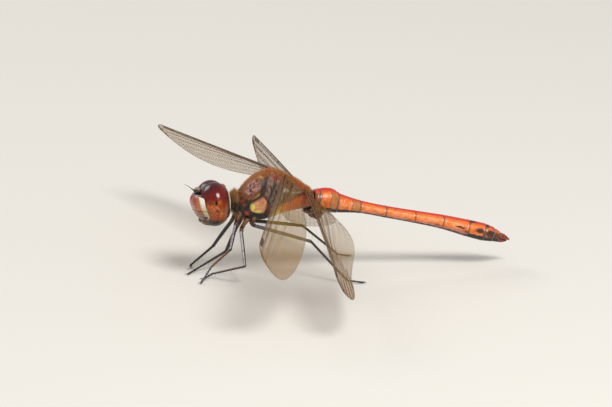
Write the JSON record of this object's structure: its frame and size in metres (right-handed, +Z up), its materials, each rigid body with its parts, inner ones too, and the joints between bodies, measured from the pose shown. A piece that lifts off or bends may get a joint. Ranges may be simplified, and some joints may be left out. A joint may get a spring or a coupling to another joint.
{
  "type": "dragonfly model",
  "caption": "Red darter dragonfly at life size, perched with its wings swept forward and down, with big eyes, a humped hairy thorax, a slim ringed abdomen and thin spiny legs.",
  "frame": {"origin": "centre of the bounding box's bottom face, on the floor under the perched insect", "axes": "+X from head to tail, +Y to the insect's right side, +Z up from the floor"},
  "size_m": [0.0394, 0.0564, 0.013],
  "materials": {
    "eyes": "glossy",
    "head": "satin",
    "thorax": "satin under fine hair",
    "abdomen": "satin",
    "legs": "satin",
    "wings": "thin amber membrane"
  },
  "bodies": {
    "root": {"eye_l": "eyes", "eye_r": "eyes", "antenna_l": "legs", "antenna_r": "legs", "head_back": "head", "frons": "head", "clypeus_labrum": "head", "labium": "head", "vertex": "head", "prothorax": "thorax", "thorax": "thorax", "abdomen_01": "abdomen", "abdomen_02": "abdomen", "abdomen_03": "abdomen", "abdomen_04": "abdomen", "abdomen_05": "abdomen", "abdomen_06": "abdomen", "abdomen_07": "abdomen", "abdomen_08": "abdomen", "abdomen_09": "abdomen", "abdomen_10": "abdomen", "hamule": "thorax", "cercus_l": "abdomen", "cercus_r": "abdomen", "epiproct": "abdomen", "forewing_l": "wings", "forewing_r": "wings", "hindwing_l": "wings", "hindwing_r": "wings", "foreleg_l_coxa": "thorax", "foreleg_l_femur": "legs", "foreleg_l_tibia": "legs", "foreleg_l_tarsus": "legs", "midleg_l_coxa": "thorax", "midleg_l_femur": "legs", "midleg_l_tibia": "legs", "midleg_l_tarsus": "legs", "hindleg_l_coxa": "thorax", "hindleg_l_femur": "legs", "hindleg_l_tibia": "legs", "hindleg_l_tarsus": "legs", "foreleg_r_coxa": "thorax", "foreleg_r_femur": "legs", "foreleg_r_tibia": "legs", "foreleg_r_tarsus": "legs", "midleg_r_coxa": "thorax", "midleg_r_femur": "legs", "midleg_r_tibia": "legs", "midleg_r_tarsus": "legs", "hindleg_r_coxa": "thorax", "hindleg_r_femur": "legs", "hindleg_r_tibia": "legs", "hindleg_r_tarsus": "legs"}
  },
  "joints": []
}
